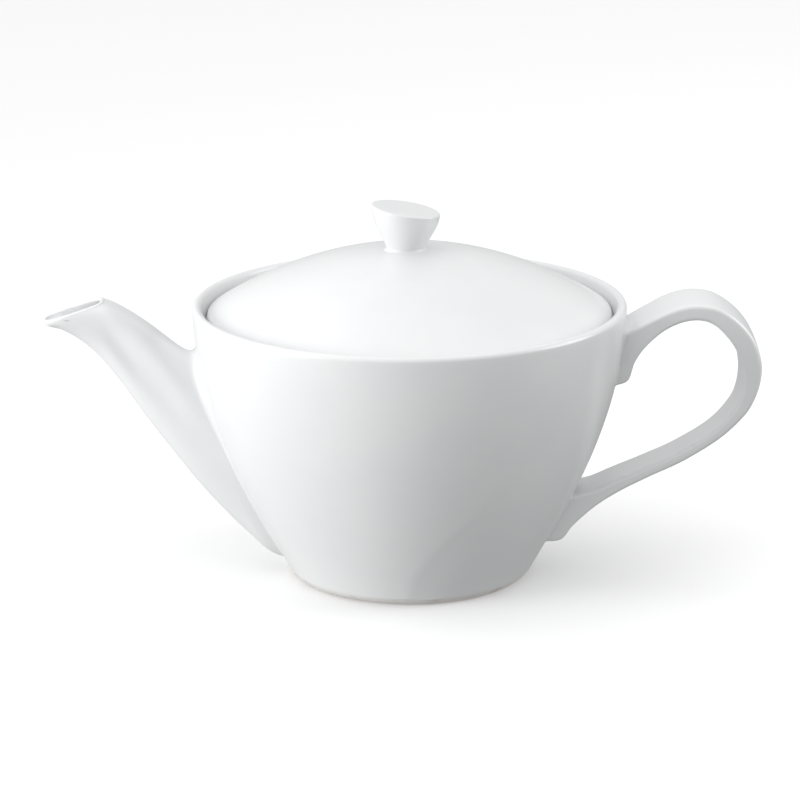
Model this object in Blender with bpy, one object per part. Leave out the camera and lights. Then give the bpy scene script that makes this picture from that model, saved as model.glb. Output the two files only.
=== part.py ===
"""Porcelain teapot: a pot (bowl, foot, spout, handle) and a loose lid (dome, flange, knob).

Metres, +Z up. The origin is on the table, in the middle of the footprint, so the pot's own axis
stands a little to one side of it. The spout points to -X and the handle to +X.
"""

import math

import bmesh
import bpy
from mathutils import Matrix, Vector
from mathutils.geometry import interpolate_bezier

MM = 0.001
GAP = 0.3 * MM

# Footprint: how far the spout and the handle reach from the pot's axis.
SPOUT_REACH = 134.9 * MM
HANDLE_REACH = 129.9 * MM
AXIS_X = (SPOUT_REACH - HANDLE_REACH) / 2

# Bowl.
TURNED_STEPS = 60
RIM_RADIUS = 80.0 * MM
RIM_HEIGHT = 103.3 * MM
LIP_RADIUS = 1.75 * MM
WALL_START = Vector((45.6, 3.0)) * MM
WALL_LOWER_HANDLE = Vector((55.7, 22.3)) * MM
WALL_UPPER_HANDLE = Vector((78.7, 56.6)) * MM
WALL_END = Vector((RIM_RADIUS, RIM_HEIGHT - LIP_RADIUS))
WALL_STEPS = 12
WALL_THICKNESS = 4.2 * MM
FLOOR_HEIGHT = 7.5 * MM
FLOOR_RADIUS = 30.0 * MM
FILLET_TOP = 20.0 * MM

# Lid seat inside the rim.
SEAT_HEIGHT = 97.3 * MM
SEAT_RADIUS = 71.4 * MM
SEAT_WALL_RADIUS = 75.2 * MM
SEAT_WALL_HEIGHT = 1.0 * MM
SEAT_LIP = 2.6 * MM
SEAT_ROOT = 88.5 * MM

# Foot ring.
FOOT_HEIGHT = 2.4 * MM
FOOT_INNER = 37.0 * MM
FOOT_CONTACT_INNER = 38.2 * MM
FOOT_CONTACT_OUTER = 41.6 * MM
FOOT_TOP_RADIUS = 45.1 * MM
FOOT_OUTER_EASE = Vector((1.6, 0.4)) * MM
FOOT_TOP_EASE = Vector((-0.5, -1.0)) * MM
FOOT_INNER_EASE = Vector((0.3, 0.7)) * MM

# Strainer: staggered holes through the wall behind the spout.
STRAINER_RADIUS = 2.1 * MM
STRAINER_PITCH_Y = 6.4 * MM
STRAINER_PITCH_Z = 9.0 * MM
STRAINER_LOWEST = 30.0 * MM
STRAINER_ROWS = 5

# Lid.
LID_RADIUS = 74.6 * MM
LID_APEX = 123.4 * MM
LID_FALL = 23.5 * MM
LID_THICKNESS = 4.2 * MM
LID_EDGE_EASE = 1.6 * MM
LID_EDGE_POINTS = (Vector((-0.35, 2.0)) * MM, Vector((0.0, 1.1)) * MM, Vector((-0.5, 0.0)) * MM)
LID_STEPS = 9
LID_HOLLOW_RADIUS = 65.8 * MM
LID_HOLLOW_EASE = Vector((-1.0, 2.6)) * MM
LID_HOLLOW_REACH = 62.8 * MM
VENT_RADIUS = 1.5 * MM
VENT_OFFSET = 17.0 * MM

# Flange under the lid.
FLANGE_OUTER = 70.6 * MM
FLANGE_INNER = 66.8 * MM
FLANGE_BOTTOM = 89.4 * MM
FLANGE_EDGE = 1.2 * MM

# Knob.
KNOB_STEPS = 32
KNOB_OFFSET = -1.0 * MM
KNOB_BASE_RADIUS = 7.1 * MM
KNOB_BASE_HEIGHT = LID_APEX + GAP
KNOB_TOP_RADIUS = 12.6 * MM
KNOB_HEIGHT = 17.3 * MM
KNOB_LOWER_HANDLE = Vector((1.8, 3.9)) * MM
KNOB_UPPER_HANDLE = Vector((-0.2, -6.5)) * MM
KNOB_CUT_HEIGHT = 138.5 * MM
KNOB_CUT_TILT = math.radians(9.0)
KNOB_EDGE = 0.7 * MM

# Spout sections, root to tip, in millimetres from the pot's axis and the table: top point,
# bottom point, half width, and how far the channel lies inside the top and inside the rest.
SPOUT_SECTIONS = (
    ((-72.0, 81.5), (-40.0, 3.6), 13.6, 3.4, 3.2),
    ((-80.5, 84.4), (-51.2, 6.6), 13.4, 3.4, 3.2),
    ((-86.0, 87.7), (-60.2, 14.6), 13.0, 3.3, 3.2),
    ((-91.2, 92.0), (-69.4, 24.0), 12.4, 3.2, 3.1),
    ((-96.3, 96.0), (-78.6, 34.6), 11.6, 3.0, 3.0),
    ((-101.2, 99.5), (-88.0, 47.0), 10.7, 2.9, 2.9),
    ((-106.2, 102.8), (-97.2, 59.6), 9.7, 2.8, 2.8),
    ((-110.6, 105.0), (-106.0, 72.6), 8.7, 2.5, 2.6),
    ((-115.2, 106.4), (-113.4, 82.4), 7.9, 0.4, 2.3),
    ((-121.4, 105.8), (-120.4, 88.9), 7.3, -2.0, 2.1),
    ((-128.4, 103.2), (-127.8, 93.6), 6.9, -3.0, 1.9),
    ((-134.6, 99.4), (-134.9, 96.1), 5.6, -3.0, 1.5),
)
SPOUT_AROUND = 24
SPOUT_BETWEEN = 1
SPOUT_FULLNESS = 2.2
MOUTH_TIP = Vector((-134.5, 0.0, 97.6)) * MM
MOUTH_BACK = Vector((-112.4, 0.0, 105.3)) * MM

# Handle sections, upper root to lower root, in millimetres from the pot's axis and the table:
# outer point, inner point, half width.
HANDLE_SECTIONS = (
    ((73.5, 91.0), (75.5, 73.6), 12.0),
    ((80.3, 94.4), (80.2, 75.6), 12.2),
    ((84.3, 96.6), (82.5, 82.4), 12.6),
    ((88.8, 99.0), (86.3, 88.3), 13.0),
    ((94.0, 101.7), (92.4, 94.0), 13.3),
    ((99.6, 103.7), (98.8, 97.4), 13.5),
    ((105.6, 104.4), (105.2, 98.5), 13.5),
    ((112.8, 103.1), (110.8, 97.0), 13.3),
    ((120.4, 98.2), (116.0, 92.3), 13.0),
    ((126.4, 91.0), (119.9, 87.2), 12.5),
    ((129.6, 82.5), (122.2, 80.9), 11.9),
    ((129.4, 74.8), (122.6, 75.0), 11.2),
    ((127.0, 67.2), (121.5, 69.0), 10.6),
    ((122.8, 60.8), (118.9, 63.4), 10.1),
    ((114.2, 52.3), (111.4, 55.2), 9.6),
    ((101.0, 43.6), (98.9, 47.0), 9.5),
    ((88.4, 37.7), (86.7, 41.3), 9.7),
    ((77.2, 32.1), (75.3, 36.4), 10.1),
    ((68.6, 26.6), (68.4, 33.2), 10.5),
    ((60.6, 19.6), (63.0, 31.6), 10.9),
    ((55.6, 13.8), (57.8, 30.2), 11.0),
    ((47.5, 13.4), (51.0, 28.6), 11.0),
)
HANDLE_BETWEEN = 1
HANDLE_CORNER = 1.5 * MM
HANDLE_CORNER_STEPS = 3

PORCELAIN = ("glazed_porcelain", (0.86, 0.865, 0.86, 1.0), 0.12)
BISQUE = ("bare_porcelain", (0.80, 0.785, 0.76, 1.0), 0.75)


def clear_scene():
    """Removes whatever the scene holds."""
    for thing in list(bpy.data.objects):
        bpy.data.objects.remove(thing)


def ceramic(name, colour, roughness):
    """A plain ceramic finish."""
    finish = bpy.data.materials.new(name)
    finish.use_nodes = True
    shader = finish.node_tree.nodes["Principled BSDF"]
    shader.inputs["Base Color"].default_value = colour
    shader.inputs["Roughness"].default_value = roughness
    shader.inputs["Metallic"].default_value = 0.0
    return finish


def empty(name, parent=None, location=(0, 0, 0)):
    """An axis that pieces hang from."""
    axis = bpy.data.objects.new(name, None)
    axis.location = location
    axis.parent = parent
    bpy.context.scene.collection.objects.link(axis)
    return axis


def piece(name, bm, parent, finish):
    """Turns a finished bmesh into one named, smooth-shaded object."""
    bmesh.ops.recalc_face_normals(bm, faces=bm.faces)
    mesh = bpy.data.meshes.new(name)
    bm.to_mesh(mesh)
    bm.free()
    if finish is not None:
        mesh.materials.append(finish)
    mesh.shade_smooth()
    mesh.set_sharp_from_angle(angle=math.radians(35))
    thing = bpy.data.objects.new(name, mesh)
    thing.parent = parent
    bpy.context.scene.collection.objects.link(thing)
    return thing


def cut(thing, name, bm):
    """Takes the shape in bm out of thing, with a live Boolean."""
    cutter = piece(name, bm, thing.parent, None)
    cutter.hide_render = True
    cutter.display_type = "WIRE"
    boolean = thing.modifiers.new(name, "BOOLEAN")
    boolean.operation = "DIFFERENCE"
    boolean.solver = "EXACT"
    boolean.object = cutter


def arc(centre, radius, start, end, steps):
    """Points on an arc in the (radius, height) plane, angles in degrees."""
    points = []
    for i in range(steps + 1):
        angle = math.radians(start + (end - start) * i / steps)
        points.append(centre + radius * Vector((math.cos(angle), math.sin(angle))))
    return points


def curve(start, start_handle, end_handle, end, steps):
    """Points on a Bezier curve in the (radius, height) plane."""
    knots = [p.to_3d() for p in (start, start_handle, end_handle, end)]
    return [p.to_2d() for p in interpolate_bezier(*knots, steps + 1)]


def turn(outline, steps):
    """Spins a closed (radius, height) outline once round the Z axis."""
    bm = bmesh.new()
    rim = [bm.verts.new((r, 0, z)) for r, z in outline]
    loop = [bm.edges.new((a, b)) for a, b in zip(rim, rim[1:])]
    if outline[0][0] > 0 or outline[-1][0] > 0:
        loop.append(bm.edges.new((rim[-1], rim[0])))
    bmesh.ops.spin(
        bm, geom=rim + loop, axis=(0, 0, 1), cent=(0, 0, 0),
        angle=2 * math.pi, steps=steps, use_merge=True,
    )
    bmesh.ops.remove_doubles(bm, verts=bm.verts, dist=0.00001)
    return bm


def through(knots, between):
    """Adds points between the knots of a path, on a Catmull-Rom curve."""
    ends = [knots[0]] + list(knots) + [knots[-1]]
    path = []
    for a, b, c, d in zip(ends, ends[1:], ends[2:], ends[3:]):
        for i in range(between + 1):
            t = i / (between + 1)
            path.append([
                q + 0.5 * t * (r - p + t * (2 * p - 5 * q + 4 * r - s + t * (3 * (q - r) + s - p)))
                for p, q, r, s in zip(a, b, c, d)
            ])
    path.append(list(knots[-1]))
    return path


def loft(loops):
    """Skins a row of equal loops and closes both ends."""
    bm = bmesh.new()
    rings = [[bm.verts.new(p) for p in loop] for loop in loops]
    for ring, following in zip(rings, rings[1:]):
        count = len(ring)
        for i in range(count):
            j = (i + 1) % count
            bm.faces.new((ring[i], ring[j], following[j], following[i]))
    bm.faces.new(rings[0])
    bm.faces.new(reversed(rings[-1]))
    return bm


def wall_outline():
    """The bowl's outer wall, from the foot up to the lip."""
    return curve(WALL_START, WALL_LOWER_HANDLE, WALL_UPPER_HANDLE, WALL_END, WALL_STEPS)


def offset(points, distance):
    """Moves a rising outline sideways, outwards when distance is positive."""
    moved = []
    for i, point in enumerate(points):
        ahead = points[min(i + 1, len(points) - 1)] - points[max(i - 1, 0)]
        ahead.normalize()
        moved.append(point + distance * Vector((ahead.y, -ahead.x)))
    return moved


def bowl_outline():
    """Half section of the bowl: underside, wall, lip, lid seat, inside wall and floor."""
    underside = FOOT_HEIGHT + GAP
    inside = [p for p in offset(wall_outline(), -WALL_THICKNESS) if FILLET_TOP < p.y < SEAT_ROOT]
    inside.reverse()
    lip_centre = Vector((RIM_RADIUS - LIP_RADIUS, RIM_HEIGHT - LIP_RADIUS))
    seat = [
        Vector((SEAT_WALL_RADIUS, SEAT_HEIGHT + SEAT_WALL_HEIGHT)),
        Vector((SEAT_WALL_RADIUS, SEAT_HEIGHT)),
        Vector((SEAT_RADIUS, SEAT_HEIGHT)),
        Vector((SEAT_RADIUS, SEAT_HEIGHT - SEAT_LIP)),
    ]
    fillet = curve(
        inside[-1], inside[-1] + (inside[-1] - inside[-2]),
        Vector((FLOOR_RADIUS + 12 * MM, FLOOR_HEIGHT)), Vector((FLOOR_RADIUS, FLOOR_HEIGHT)), 5,
    )
    floor = [Vector((0, FLOOR_HEIGHT))]
    start = [Vector((0, underside)), Vector((WALL_START.x - 0.5 * MM, underside))]
    return start + wall_outline()[:-1] + arc(lip_centre, LIP_RADIUS, 0, 180, 6) + seat + (
        inside + fillet[1:] + floor
    )


def strainer():
    """The drill that pierces the wall behind the spout: staggered rows of round holes."""
    bm = bmesh.new()
    for row in range(STRAINER_ROWS):
        height = STRAINER_LOWEST + row * STRAINER_PITCH_Z
        places = [(0.0, height)]
        if row < STRAINER_ROWS - 1:
            side_height = height + STRAINER_PITCH_Z / 2
            places += [(-STRAINER_PITCH_Y, side_height), (STRAINER_PITCH_Y, side_height)]
        for across, up in places:
            place = Matrix.Translation((-RIM_RADIUS * 0.85, across, up))
            bmesh.ops.create_cone(
                bm, cap_ends=True, segments=12, radius1=STRAINER_RADIUS, radius2=STRAINER_RADIUS,
                depth=36 * MM, matrix=place @ Matrix.Rotation(math.pi / 2, 4, "Y"),
            )
    return bm


def make_bowl(parent, finish):
    """The bowl, with its lid seat and its strainer."""
    bowl = piece("pot_body", turn(bowl_outline(), TURNED_STEPS), parent, finish)
    cut(bowl, "strainer_drill", strainer())


def make_foot(parent, finish):
    """The bare ring that the pot stands on."""
    outline = [
        Vector((FOOT_CONTACT_INNER, 0)),
        Vector((FOOT_CONTACT_OUTER, 0)),
        Vector((FOOT_CONTACT_OUTER, 0)) + FOOT_OUTER_EASE,
        Vector((FOOT_TOP_RADIUS, FOOT_HEIGHT)) + FOOT_TOP_EASE,
        Vector((FOOT_TOP_RADIUS, FOOT_HEIGHT)),
        Vector((FOOT_INNER, FOOT_HEIGHT)),
        Vector((FOOT_INNER, 0)) + FOOT_INNER_EASE,
    ]
    piece("foot_ring", turn(outline, TURNED_STEPS), parent, finish)


def wall_clearance():
    """A solid a little larger than the bowl, which trims the roots of the spout and handle."""
    wall = offset(wall_outline(), GAP)
    foot = [Vector((0, -10 * MM)), Vector((wall[0].x, -10 * MM))]
    top = [Vector((wall[-1].x, 130 * MM)), Vector((0, 130 * MM))]
    return turn(foot + wall + top, TURNED_STEPS)


def oval(top, bottom, half_width):
    """A closed section between a top and a bottom point, half_width to either side."""
    centre = (top + bottom) / 2
    half = (top - bottom) / 2
    across = Vector((0, half_width, 0))
    power = 2 / SPOUT_FULLNESS
    points = []
    for i in range(SPOUT_AROUND):
        c = math.cos(2 * math.pi * i / SPOUT_AROUND)
        s = math.sin(2 * math.pi * i / SPOUT_AROUND)
        up = math.copysign(abs(c) ** power, c)
        side = math.copysign(abs(s) ** power, s)
        points.append(centre + half * up + across * side)
    return points


def spout_sections():
    """Smoothed spout sections as (top, bottom, half width, top inset, side inset)."""
    knots = [(*top, *bottom, *rest) for top, bottom, *rest in SPOUT_SECTIONS]
    for tx, tz, bx, bz, width, top_inset, inset in through(knots, SPOUT_BETWEEN):
        yield (
            Vector((tx, 0, tz)) * MM, Vector((bx, 0, bz)) * MM,
            width * MM, top_inset * MM, inset * MM,
        )


def spout_skin():
    """The spout's outer solid, cut off along the mouth."""
    bm = loft([oval(top, bottom, width) for top, bottom, width, _, _ in spout_sections()])
    slope = MOUTH_BACK - MOUTH_TIP
    cut_edges = bmesh.ops.bisect_plane(
        bm, geom=bm.verts[:] + bm.edges[:] + bm.faces[:], dist=0.000001,
        plane_co=MOUTH_TIP, plane_no=Vector((-slope.z, 0, slope.x)), clear_outer=True,
    )
    edges = [e for e in cut_edges["geom_cut"] if isinstance(e, bmesh.types.BMEdge)]
    bmesh.ops.holes_fill(bm, edges=edges, sides=0)
    return bm


def spout_channel():
    """The hollow of the spout, run out past the tip and into the bowl."""
    loops = []
    for top, bottom, width, top_inset, inset in spout_sections():
        up = (top - bottom).normalized()
        loops.append(oval(top - up * top_inset, bottom + up * inset, width - inset))
    past_tip = [p + Vector((-6 * MM, 0, 2.2 * MM)) for p in loops[-1]]
    return loft(loops + [past_tip])


def make_spout(parent, finish):
    """The hollow spout, open at its root and along its beak."""
    spout = piece("spout", spout_skin(), parent, finish)
    cut(spout, "spout_channel", spout_channel())
    cut(spout, "spout_root_trim", wall_clearance())


def strap(outer, inner, half_width):
    """A flat section with rounded corners, from the inner to the outer point."""
    centre = (outer + inner) / 2
    thick = (outer - inner).length
    up = (outer - inner).normalized()
    radius = min(HANDLE_CORNER, 0.45 * thick)
    points = []
    for side, rise in ((1, 1), (-1, 1), (-1, -1), (1, -1)):
        start = math.atan2(rise, side) - math.pi / 4
        for i in range(HANDLE_CORNER_STEPS + 1):
            angle = start + math.pi / 2 * i / HANDLE_CORNER_STEPS
            across = side * (half_width - radius) + radius * math.cos(angle)
            along = rise * (thick / 2 - radius) + radius * math.sin(angle)
            points.append(centre + Vector((0, across, 0)) + up * along)
    return points


def make_handle(parent, finish):
    """The ribbon handle, with both roots trimmed to the bowl."""
    knots = [(*outer, *inner, width) for outer, inner, width in HANDLE_SECTIONS]
    loops = []
    for ox, oz, ix, iz, width in through(knots, HANDLE_BETWEEN):
        loops.append(strap(Vector((ox, 0, oz)) * MM, Vector((ix, 0, iz)) * MM, width * MM))
    handle = piece("handle", loft(loops), parent, finish)
    cut(handle, "handle_root_trim", wall_clearance())


def dome_height(radius):
    """Height of the lid's top at a distance from its axis."""
    return LID_APEX - LID_FALL * (radius / LID_RADIUS) ** 2


def make_lid(parent, finish):
    """The domed lid, hollow underneath, with a flat ring to rest on and a steam hole."""
    bottom = SEAT_HEIGHT + GAP
    shoulder = LID_RADIUS - LID_EDGE_EASE
    top = [shoulder * i / LID_STEPS for i in range(LID_STEPS + 1)]
    hollow = [LID_HOLLOW_REACH * i / LID_STEPS for i in range(LID_STEPS + 1)]
    outline = [Vector((r, dome_height(r))) for r in top]
    outline += [Vector((LID_RADIUS, bottom)) + point for point in LID_EDGE_POINTS]
    outline += [
        Vector((LID_HOLLOW_RADIUS, bottom)),
        Vector((LID_HOLLOW_RADIUS, bottom)) + LID_HOLLOW_EASE,
    ]
    outline += [Vector((r, dome_height(r) - LID_THICKNESS)) for r in reversed(hollow)]
    lid = piece("lid", turn(outline, TURNED_STEPS), parent, finish)
    vent = bmesh.new()
    bmesh.ops.create_cone(
        vent, cap_ends=True, segments=12, radius1=VENT_RADIUS, radius2=VENT_RADIUS,
        depth=20 * MM, matrix=Matrix.Translation((0, VENT_OFFSET, LID_APEX)),
    )
    cut(lid, "steam_hole_drill", vent)


def make_flange(parent, finish):
    """The ring under the lid that drops inside the seat."""
    outline = [
        Vector((FLANGE_OUTER, SEAT_HEIGHT)),
        Vector((FLANGE_OUTER, FLANGE_BOTTOM + FLANGE_EDGE)),
        Vector((FLANGE_OUTER - 0.4 * FLANGE_EDGE, FLANGE_BOTTOM + 0.4 * FLANGE_EDGE)),
        Vector((FLANGE_OUTER - FLANGE_EDGE, FLANGE_BOTTOM)),
        Vector((FLANGE_INNER + FLANGE_EDGE, FLANGE_BOTTOM)),
        Vector((FLANGE_INNER + 0.4 * FLANGE_EDGE, FLANGE_BOTTOM + 0.4 * FLANGE_EDGE)),
        Vector((FLANGE_INNER, FLANGE_BOTTOM + FLANGE_EDGE)),
        Vector((FLANGE_INNER, SEAT_HEIGHT)),
    ]
    piece("lid_flange", turn(outline, TURNED_STEPS), parent, finish)


def make_knob(parent, finish):
    """The flared knob, with its top cut on a slant."""
    base = Vector((KNOB_BASE_RADIUS, KNOB_BASE_HEIGHT))
    crown = Vector((KNOB_TOP_RADIUS, KNOB_BASE_HEIGHT + KNOB_HEIGHT))
    side = curve(base, base + KNOB_LOWER_HANDLE, crown + KNOB_UPPER_HANDLE, crown, 10)
    outline = [Vector((0, base.y))] + side + [Vector((0, crown.y))]
    bm = turn(outline, KNOB_STEPS)
    cut_edges = bmesh.ops.bisect_plane(
        bm, geom=bm.verts[:] + bm.edges[:] + bm.faces[:], dist=0.000001,
        plane_co=(0, 0, KNOB_CUT_HEIGHT),
        plane_no=(math.sin(KNOB_CUT_TILT), 0, math.cos(KNOB_CUT_TILT)), clear_outer=True,
    )
    edges = [e for e in cut_edges["geom_cut"] if isinstance(e, bmesh.types.BMEdge)]
    bmesh.ops.holes_fill(bm, edges=edges, sides=0)
    bmesh.ops.bevel(
        bm, geom=edges, offset=KNOB_EDGE, segments=2, profile=0.5, affect="EDGES", material=-1,
    )
    bmesh.ops.translate(bm, verts=bm.verts, vec=(KNOB_OFFSET, 0, 0))
    piece("lid_knob", bm, parent, finish)


def make_teapot():
    """Builds every piece around the pot's axis."""
    clear_scene()
    porcelain = ceramic(*PORCELAIN)
    bisque = ceramic(*BISQUE)
    pot_axis = empty("pot_axis", location=(AXIS_X, 0, 0))
    lift_axis = empty("lid_lift_axis", pot_axis)
    turn_axis = empty("lid_turn_axis", lift_axis)
    make_bowl(pot_axis, porcelain)
    make_foot(pot_axis, bisque)
    make_spout(pot_axis, porcelain)
    make_handle(pot_axis, porcelain)
    make_flange(lift_axis, porcelain)
    make_lid(turn_axis, porcelain)
    make_knob(turn_axis, porcelain)


make_teapot()
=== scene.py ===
"""Porcelain teapot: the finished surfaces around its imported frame.

Metres, +Z up, in the frame's own axes: the spout points to -X and the handle to +X. Each
sub-assembly is a class that takes its main sizes from the frame, builds its meshes with bmesh
operators and dresses them in a procedural finish. The spout and the strap grow out of the bowl
in slip fillets, as they are luted on before the first firing.
"""

from __future__ import annotations

import logging
import math
from bisect import bisect_left
from collections.abc import Callable, Sequence
from dataclasses import dataclass
from enum import Enum
from functools import cached_property

import bmesh
import bpy
from mathutils import Matrix, Vector
from mathutils.geometry import interpolate_bezier

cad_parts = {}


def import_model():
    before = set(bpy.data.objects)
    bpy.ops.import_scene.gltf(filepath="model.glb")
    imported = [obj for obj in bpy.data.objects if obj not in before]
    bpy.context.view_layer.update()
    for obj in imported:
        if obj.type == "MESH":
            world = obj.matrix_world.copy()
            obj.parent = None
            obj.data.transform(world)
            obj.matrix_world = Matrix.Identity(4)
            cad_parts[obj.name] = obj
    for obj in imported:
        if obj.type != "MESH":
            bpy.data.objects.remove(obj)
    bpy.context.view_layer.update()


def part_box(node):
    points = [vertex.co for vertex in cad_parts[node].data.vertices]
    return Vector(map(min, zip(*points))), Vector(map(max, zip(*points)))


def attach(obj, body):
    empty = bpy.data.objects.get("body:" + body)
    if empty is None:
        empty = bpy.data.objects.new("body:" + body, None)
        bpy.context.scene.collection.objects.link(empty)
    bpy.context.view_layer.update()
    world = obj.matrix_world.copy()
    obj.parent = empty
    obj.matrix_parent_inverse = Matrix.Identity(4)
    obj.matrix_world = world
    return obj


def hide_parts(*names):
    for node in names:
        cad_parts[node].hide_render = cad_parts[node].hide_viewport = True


MM = 0.001
MERGE = 0.00001
SEAT_GAP = 0.3 * MM
FOOT_LAP = 0.02 * MM

Colour = tuple[float, float, float]
Flat = tuple[float, float]
Line = Callable[[float], Vector]

log = logging.getLogger("teapot")


class Body(Enum):
    """The rigid bodies that pieces ride on."""

    POT = "pot"
    LID_RING = "lid_ring"
    LID = "lid"


class Slot(Enum):
    """The record's material slots."""

    GLAZED = "glazed_porcelain"
    BARE = "bare_porcelain"


# --------------------------------------------------------------------------------------
# Shader nodes
# --------------------------------------------------------------------------------------


class Value:
    """A shader socket that takes part in Python expressions."""

    def __init__(self, sheet: NodeSheet, socket: bpy.types.NodeSocket) -> None:
        """Keeps the socket and the node tree that it belongs to."""
        self.sheet = sheet
        self.socket = socket

    def math(self, operation: str, *operands: Value | float) -> Value:
        """Adds a Math node.

        Args:
            operation: The Math node's operation.
            operands: The node's values or links, in order.

        Returns:
            The node's result.
        """
        node = self.sheet.add(
            "ShaderNodeMath", {"operation": operation}, dict(enumerate(operands))
        )
        return Value(self.sheet, node.outputs[0])

    def __add__(self, other: Value | float) -> Value:
        """Adds."""
        return self.math("ADD", self, other)

    def __radd__(self, other: float) -> Value:
        """Adds, with a plain number first."""
        return self.math("ADD", other, self)

    def __sub__(self, other: Value | float) -> Value:
        """Subtracts."""
        return self.math("SUBTRACT", self, other)

    def __rsub__(self, other: float) -> Value:
        """Subtracts from a plain number."""
        return self.math("SUBTRACT", other, self)

    def __mul__(self, other: Value | float) -> Value:
        """Multiplies."""
        return self.math("MULTIPLY", self, other)

    def __rmul__(self, other: float) -> Value:
        """Multiplies, with a plain number first."""
        return self.math("MULTIPLY", other, self)

    def sine(self) -> Value:
        """The sine of an angle in radians."""
        return self.math("SINE", self)

    def limited(self, low: float, high: float) -> Value:
        """Rescales low..high to 0..1 with a soft start and end, and holds it there.

        Args:
            low: The value that becomes 0.
            high: The value that becomes 1.

        Returns:
            The rescaled value.
        """
        node = self.sheet.add(
            "ShaderNodeMapRange",
            {"interpolation_type": "SMOOTHSTEP"},
            {"Value": self, "From Min": low, "From Max": high},
        )
        return Value(self.sheet, node.outputs["Result"])


class NodeSheet:
    """A node tree that is filled by one method."""

    def __init__(self, tree: bpy.types.NodeTree) -> None:
        """Keeps the tree."""
        self.tree = tree

    def add(
        self,
        kind: str,
        settings: dict[str, object] | None = None,
        inputs: dict[str | int, object] | None = None,
    ) -> bpy.types.Node:
        """Adds a node, sets it up and feeds its sockets.

        Args:
            kind: The node's type.
            settings: The node's own properties, which are set first.
            inputs: A value or a link for each socket, by name or by number.

        Returns:
            The new node.
        """
        node = self.tree.nodes.new(kind)
        for name, value in (settings or {}).items():
            setattr(node, name, value)
        self.feed(node, inputs or {})
        return node

    def feed(self, node: bpy.types.Node, inputs: dict[str | int, object]) -> None:
        """Sets or links a node's sockets.

        Args:
            node: The node to feed.
            inputs: A value or a link for each socket, by name or by number.
        """
        for key, value in inputs.items():
            if isinstance(value, Value):
                self.tree.links.new(value.socket, node.inputs[key])
            else:
                node.inputs[key].default_value = value

    def out(self, node: bpy.types.Node, key: str | int = 0) -> Value:
        """Wraps one of a node's outputs."""
        return Value(self, node.outputs[key])

    def place(self) -> Value:
        """Where a point lies in its object's own space."""
        return self.out(self.add("ShaderNodeTexCoord"), "Object")

    def noise(self, place: Value, size: float, detail: float = 2.0) -> Value:
        """Adds a noise.

        Args:
            place: The coordinates that it reads.
            size: The length of its features in metres.
            detail: How many finer octaves it has.

        Returns:
            The noise, from 0 to 1.
        """
        node = self.add(
            "ShaderNodeTexNoise", {}, {"Vector": place, "Scale": 1 / size, "Detail": detail}
        )
        return self.out(node, "Fac")

    def blend(self, factor: Value, first: Colour, second: Colour) -> Value:
        """Mixes two colours.

        Args:
            factor: 0 gives the first colour and 1 the second.
            first: The first colour.
            second: The second colour.

        Returns:
            The mixed colour.
        """
        node = self.add(
            "ShaderNodeMix", {"data_type": "RGBA"},
            {0: factor, 6: (*first, 1.0), 7: (*second, 1.0)},
        )
        return self.out(node, 2)

    def bump(self, height: Value, depth: float) -> Value:
        """Adds a bump.

        Args:
            height: The relief, from 0 to 1.
            depth: How deep the relief is in metres.

        Returns:
            The bent normal.
        """
        node = self.add("ShaderNodeBump", {}, {"Height": height, "Distance": depth})
        return self.out(node, "Normal")


def new_material(name: str) -> tuple[bpy.types.Material, NodeSheet, bpy.types.Node]:
    """Makes an empty material.

    Args:
        name: The material's name.

    Returns:
        The material, its node sheet and its Principled shader.
    """
    material = bpy.data.materials.new(name)
    material.use_nodes = True
    return (
        material, NodeSheet(material.node_tree), material.node_tree.nodes["Principled BSDF"]
    )


# --------------------------------------------------------------------------------------
# Finishes
# --------------------------------------------------------------------------------------


@dataclass(frozen=True)
class GlazedPorcelain:
    """White porcelain under a clear gloss glaze.

    Attributes:
        name: The material's name.
        thin: Colour where the glaze runs thin.
        thick: Colour where it pools.
        roughness: Roughness of the body under the glaze.
        peel: Depth of the glaze's own ripple.
        line_depth: Depth of the fine lines left by the turning tool, 0 for none.
        line_pitch: Distance between those lines.
    """

    name: str
    thin: Colour = (0.790, 0.796, 0.800)
    thick: Colour = (0.765, 0.776, 0.782)
    roughness: float = 0.34
    peel: float = 0.012 * MM
    line_depth: float = 0.0
    line_pitch: float = 1.5 * MM

    def make(self) -> bpy.types.Material:
        """Makes the material.

        Returns:
            The finished material.
        """
        material, sheet, shader = new_material(self.name)
        place = sheet.place()
        cloud = sheet.noise(place, 34 * MM)
        ripple = sheet.noise(place, 3.2 * MM, 1.0)
        pinhole = sheet.noise(place, 0.5 * MM, 0.0).limited(0.70, 0.80)
        height = self.peel / (0.03 * MM) * ripple - 0.10 * pinhole
        if self.line_depth:
            height = height + self.line_depth / (0.03 * MM) * self.lines(sheet, place)
        sheet.feed(shader, {
            "Base Color": sheet.blend(cloud.limited(0.3, 0.7), self.thin, self.thick),
            "Roughness": self.roughness - 0.03 + 0.06 * cloud,
            "Normal": sheet.bump(height, 0.03 * MM),
            "Coat Weight": 0.35 + 0.12 * cloud,
            "Coat Roughness": 0.20,
            "IOR": 1.5,
        })
        return material

    def lines(self, sheet: NodeSheet, place: Value) -> Value:
        """Fine level lines, broken up so that no two run alike.

        Args:
            sheet: The node sheet to add to.
            place: The object coordinates.

        Returns:
            The lines' height, from 0 to 1.
        """
        height = sheet.out(sheet.add("ShaderNodeSeparateXYZ", {}, {0: place}), "Z")
        drift = sheet.noise(place, 22 * MM, 1.0)
        wave = (height * (math.tau / self.line_pitch) + drift * 9.0).sine()
        finer = (height * (math.tau / (0.43 * self.line_pitch)) + drift * 23.0).sine()
        strength = sheet.noise(place, 30 * MM).limited(0.25, 0.75)
        return (0.5 + 0.3 * wave + 0.2 * finer) * (0.35 + 0.65 * strength)


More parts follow.
